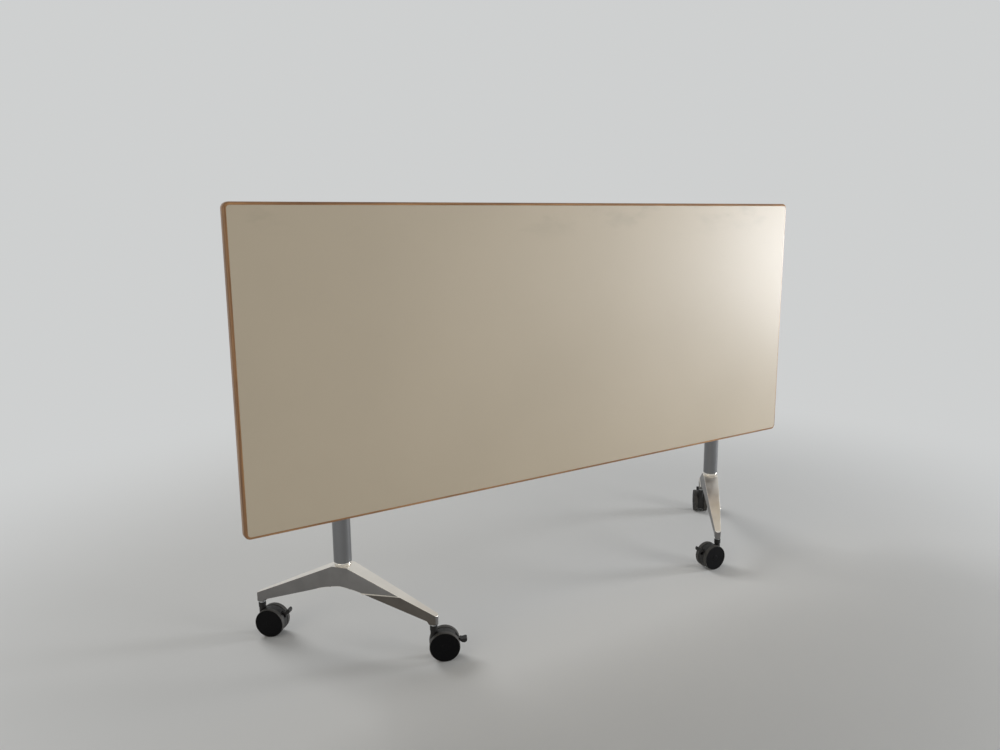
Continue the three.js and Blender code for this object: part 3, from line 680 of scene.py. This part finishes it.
class TABLE_OT_castors(bpy.types.Operator):
    """Twin wheel castors with closed discs, hoods and brake levers"""
    bl_idname = "table.castors"
    bl_label = "Castors"

    def execute(self, context):
        settings = context.scene.table_castors
        edge = settings.moulded_edge
        for corner in CORNERS:
            for half in ("outer", "inner"):
                self.wheel(corner, half, settings)
            hood = refined(f"{corner}_castor_hood", edge, clamp=False)
            lever = refined(f"{corner}_brake_lever", edge, clamp=False, inward=False)
            moulded = ((hood, "castor_hood", "castor"), (lever, "brake_lever", "brake"))
            for bm, part, rider in moulded:
                node = f"{corner}_{part}"
                body = f"{corner}_{rider}"
                publish(bm, f"{node}_piece", body, "black_plastic", ["moulded_black"], [node])
            for part, body in (("castor_axle", f"{corner}_castor"), ("castor_stem", "frame")):
                node = f"{corner}_{part}"
                bm = refined(node, 2 * edge)
                publish(bm, f"{node}_piece", body, "zinc", ["zinc_plate"], [node])
        return {"FINISHED"}

    def wheel(self, corner, half, settings):
        node = f"{corner}_{half}_wheel"
        centre = joint_place(f"{corner}_{half}_roll")
        axis = joint_axis(f"{corner}_{half}_roll")
        start, end, _ = span_along(node, centre, axis)
        if abs(start) > abs(end):
            axis, start, end = -axis, -end, -start
        radius = centre.z
        disc = radius * 0.945
        groove = settings.groove
        axle = (high(f"{corner}_castor_axle").z - low(f"{corner}_castor_axle").z) / 2
        face = end - 0.0008
        floor = end - 0.0038
        sleeve = axle * 1.15
        profile = (
            (0.0, end), (radius * 0.2, end), (radius * 0.23, face), (disc, face),
            (disc, face - groove), (disc + groove, face - groove), (disc + groove, end),
            (radius - settings.shoulder * 0.4, end), (radius, end - settings.shoulder),
            (radius, start + groove), (radius - groove, start),
            (sleeve, start), (sleeve, floor), (0.0, floor))
        bm = turned(profile, 72, centre, axis)
        soften(bm, groove * 0.3, 2, 25.0)
        for bm_face in bm.faces:
            arm = bm_face.calc_center_median() - centre
            along = arm.dot(axis)
            inside = (arm - axis * along).length < disc + groove * 0.5
            bm_face.material_index = 1 if inside and along > (start + end) / 2 else 0
        finishes = ["wheel_tread", "disc_black"]
        publish(bm, f"{node}_rim", f"{corner}_{half}_wheel", "tread", finishes, [node])


class TABLE_OT_pivot(bpy.types.Operator):
    """Cross tube, heads, brackets and the parts that turn on the tube"""
    bl_idname = "table.pivot"
    bl_label = "Pivot"

    def execute(self, context):
        settings = context.scene.table_legs
        edge = settings.small_edge
        along = Vector((1, 0, 0))
        centre = middle("cross_tube")
        start, end, radius = span_along("cross_tube", centre, along)
        bore = radius * 0.82
        tube = turned(
            ((bore, start), (radius, start), (radius, end), (bore, end)),
            settings.turn_steps, centre, along, closed=True)
        soften(tube, edge, 2)
        publish(tube, "cross_tube_piece", "frame", "column_paint", ["silver_coat"], ["cross_tube"])
        for side in SIDES:
            for part, body, slot, finish, offset in (
                    ("head", "frame", "polished_aluminium", "cast_wall", 2 * edge),
                    ("tube_cap", "frame", "black_plastic", "moulded_black", 2 * edge),
                    ("latch_disc", "frame", "zinc", "zinc_plate", edge),
                    ("rest_pad", "frame", "rubber", "soft_rubber", edge),
                    ("bracket", "top", "black_steel", "black_coat", edge),
                    ("inner_bush", "top", "nylon", "natural_nylon", edge / 2),
                    ("outer_bush", "top", "nylon", "natural_nylon", edge / 2),
                    ("stop_pad", "top", "rubber", "soft_rubber", edge / 2)):
                node = f"{side}_{part}"
                bm = refined(node, offset, clamp=part != "bracket")
                publish(bm, f"{node}_piece", body, slot, [finish], [node])
            self.screws(side)
        return {"FINISHED"}

    def screws(self, side):
        """Pan heads of the four wood screws through each bracket."""
        node = f"{side}_bracket"
        bottom, top = low(node), high(node)
        seat = bottom.y + 0.0037
        inset = 0.011
        radius = 0.0046
        socket = radius * 0.4
        bm = bmesh.new()
        for x in (bottom.x + inset, top.x - inset):
            for z in (bottom.z + inset, top.z - inset):
                head = turned(
                    ((0.0, -0.001), (radius, -0.001), (radius, 0.0008), (radius * 0.75, 0.0021),
                     (socket, 0.0025), (socket, 0.0008), (0.0, 0.0006)),
                    30, Vector((x, seat, z)), Vector((0, 1, 0)))
                mesh = bpy.data.meshes.new("screw")
                head.to_mesh(mesh)
                head.free()
                bm.from_mesh(mesh)
                bpy.data.meshes.remove(mesh)
        publish(bm, f"{side}_bracket_screws", "top", "zinc", ["zinc_plate"])


class TABLE_OT_release(bpy.types.Operator):
    """Release bar: rod, pawls, springs and squeeze paddle"""
    bl_idname = "table.release"
    bl_label = "Release bar"

    def execute(self, context):
        edge = context.scene.table_legs.small_edge
        parts = [
            ("latch_rod", "zinc", "zinc_plate", edge),
            ("release_paddle", "black_plastic", "moulded_black", edge)]
        for side in SIDES:
            parts.append((f"{side}_latch_pawl", "zinc", "zinc_plate", edge / 2))
            spring = f"{side}_latch_spring"
            bm = refined(spring, edge / 2)
            publish(bm, f"{spring}_piece", "release_bar", "zinc", ["zinc_plate"], [spring])
        for node, slot, finish, offset in parts:
            bm = refined(node, offset, clamp=node != "release_paddle")
            publish(bm, f"{node}_piece", "release_bar", slot, [finish], [node])
        guide = refined("rod_guide", edge)
        publish(guide, "rod_guide_piece", "top", "black_plastic", ["moulded_black"], ["rod_guide"])
        return {"FINISHED"}


class TABLE_OT_stage(bpy.types.Operator):
    """Pale floor, soft lamps and the camera"""
    bl_idname = "table.stage"
    bl_label = "Stage"

    def execute(self, context):
        settings = context.scene.table_stage
        context.scene.view_settings.view_transform = "Standard"
        self.floor(settings)
        self.surroundings(context.scene, settings)
        cool, warm = settings.cool_tint, settings.warm_tint
        self.lamp(settings, "key", (5.6, -2.2, 0.8), (0.35, 0.0, 0.6), 1.5, 0.98, cool)
        self.lamp(settings, "fill", (1.9, -3.2, 0.8), (0.3, 0.0, 0.2), 1.4, 0.18)
        self.lamp(settings, "left", (-4.1, -1.5, 1.45), (-0.7, 0.0, 0.4), 2.7, 0.1, warm)
        self.lamp(settings, "back", (-1.2, 4.2, 3.4), (0.0, 0.0, 0.6), 3.0, 0.5)
        self.camera(context.scene, settings)
        return {"FINISHED"}

    def floor(self, settings):
        finish = Finish("pale_floor", 0.0, 0.7)
        cloud = finish.group("mottle", finish.place, Scale=1.5)
        pale = settings.floor_colour[:3]
        finish.colour(finish.mix(cloud, shade(pale, 0.985), pale))
        self.fade(finish, settings)
        bm = bmesh.new()
        bmesh.ops.create_circle(bm, cap_ends=True, segments=96, radius=60.0)
        bmesh.ops.translate(bm, vec=(0, 0, CAD_BOX[0][2]), verts=bm.verts)
        mesh = bpy.data.meshes.new("floor")
        bm.to_mesh(mesh)
        bm.free()
        mesh.materials.append(finish.material)
        floor = bpy.data.objects.new("floor", mesh)
        bpy.context.scene.collection.objects.link(floor)
        floor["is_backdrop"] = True

    def fade(self, finish, settings):
        """Lets the far floor run into the backdrop without a horizon."""
        reach = finish.node("ShaderNodeVectorMath")
        reach.operation = "LENGTH"
        finish.link(finish.place, reach.inputs[0])
        away = finish.node("ShaderNodeMapRange")
        away.interpolation_type = "SMOOTHSTEP"
        away.inputs["From Min"].default_value = settings.fade_from
        away.inputs["From Max"].default_value = settings.fade_to
        finish.link(reach.outputs["Value"], away.inputs["Value"])
        glow = finish.node("ShaderNodeEmission")
        glow.inputs["Color"].default_value = (*settings.backdrop_colour, 1.0)
        blend = finish.node("ShaderNodeMixShader")
        mask = finish.math("MULTIPLY", away.outputs["Result"], self.looked_at(finish.tree))
        finish.link(mask, blend.inputs["Fac"])
        finish.link(finish.shader.outputs["BSDF"], blend.inputs[1])
        finish.link(glow.outputs["Emission"], blend.inputs[2])
        finish.link(blend.outputs["Shader"], finish.tree.nodes["Material Output"].inputs["Surface"])

    def looked_at(self, tree):
        """One for rays that show the surroundings, straight or in metal."""
        path = tree.nodes.new("ShaderNodeLightPath")
        total = path.outputs["Is Camera Ray"]
        for label in ("Is Glossy Ray", "Is Transmission Ray"):
            either = tree.nodes.new("ShaderNodeMath")
            either.operation = "MAXIMUM"
            tree.links.new(total, either.inputs[0])
            tree.links.new(path.outputs[label], either.inputs[1])
            total = either.outputs["Value"]
        return total

    def surroundings(self, scene, settings):
        """Even light, and the plain backdrop wherever it is looked at."""
        world = bpy.data.worlds.new("studio")
        scene.world = world
        world.use_nodes = True
        tree = world.node_tree
        link = tree.links.new
        even = tree.nodes["Background"]
        even.inputs["Color"].default_value = (*settings.backdrop_colour, 1.0)
        even.inputs["Strength"].default_value = settings.ambient / settings.backdrop_colour[1]
        seen = tree.nodes.new("ShaderNodeBackground")
        seen.inputs["Color"].default_value = (*settings.backdrop_colour, 1.0)
        blend = tree.nodes.new("ShaderNodeMixShader")
        link(self.looked_at(tree), blend.inputs["Fac"])
        link(even.outputs["Background"], blend.inputs[1])
        link(seen.outputs["Background"], blend.inputs[2])
        link(blend.outputs["Shader"], tree.nodes["World Output"].inputs["Surface"])

    def lamp(self, settings, name, place, aim, size, level, tint=(1.0, 1.0, 1.0)):
        """A soft disc lamp; the fill and the back lamp stay out of reflections."""
        light = bpy.data.lights.new(name, "AREA")
        light.color = tint
        light.shape = "DISK"
        light.size = size
        light.energy = settings.key_power * level
        lamp = bpy.data.objects.new(name, light)
        lamp.location = place
        lamp.rotation_euler = (Vector(aim) - Vector(place)).to_track_quat("-Z", "Y").to_euler()
        lamp.visible_camera = False
        lamp.visible_glossy = name not in ("fill", "back")
        bpy.context.scene.collection.objects.link(lamp)

    def camera(self, scene, settings):
        yaw, pitch, roll = (math.radians(angle) for angle in (32.9076, 10.6118, 0.4759))
        ahead = math.cos(pitch)
        forward = Vector((math.sin(yaw) * ahead, math.cos(yaw) * ahead, -math.sin(pitch)))
        level = Vector((math.cos(yaw), -math.sin(yaw), 0.0))
        down = forward.cross(level)
        right = level * math.cos(roll) + down * math.sin(roll)
        below = down * math.cos(roll) - level * math.sin(roll)
        lens = bpy.data.cameras.new("camera")
        lens.sensor_fit = "HORIZONTAL"
        lens.sensor_width = 36.0
        lens.lens = settings.focal_pixels * lens.sensor_width / FRAME_WIDTH
        camera = bpy.data.objects.new("camera", lens)
        turn = Matrix((right, -below, -forward)).transposed().to_4x4()
        place = Vector((-1.37623, middle("left_column").y - 1.84951, 1.05797))
        camera.matrix_world = Matrix.Translation(place) @ turn
        scene.collection.objects.link(camera)
        scene.camera = camera


class TABLE_PT_pieces(bpy.types.Panel):
    """Operators that build the table"""
    bl_idname = "TABLE_PT_pieces"
    bl_label = "Training Table"
    bl_space_type = "VIEW_3D"
    bl_region_type = "UI"
    bl_category = "Table"

    def draw(self, context):
        for operator in OPERATORS:
            self.layout.operator(operator.bl_idname)


OPERATORS = (
    TABLE_OT_board, TABLE_OT_columns, TABLE_OT_feet, TABLE_OT_castors,
    TABLE_OT_pivot, TABLE_OT_release, TABLE_OT_stage)
SETTINGS = {
    "table_board": TableBoardSettings,
    "table_legs": TableLegSettings,
    "table_castors": TableCastorSettings,
    "table_stage": TableStageSettings,
}


def register():
    for name, group in SETTINGS.items():
        bpy.utils.register_class(group)
        setattr(bpy.types.Scene, name, PointerProperty(type=group))
    for cls in (*OPERATORS, TABLE_PT_pieces):
        bpy.utils.register_class(cls)


def unregister():
    for cls in (TABLE_PT_pieces, *reversed(OPERATORS)):
        bpy.utils.unregister_class(cls)
    for name, group in SETTINGS.items():
        delattr(bpy.types.Scene, name)
        bpy.utils.unregister_class(group)


def main():
    register()
    make_finishes()
    for name in ("board", "columns", "feet", "castors", "pivot", "release", "stage"):
        getattr(bpy.ops.table, name)()
    sizes = {"cad": CAD_BOX, "visual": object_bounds()}
    {key: [list(corner) for corner in box] for key, box in sizes.items()}


if __name__ == "__main__":
    main()
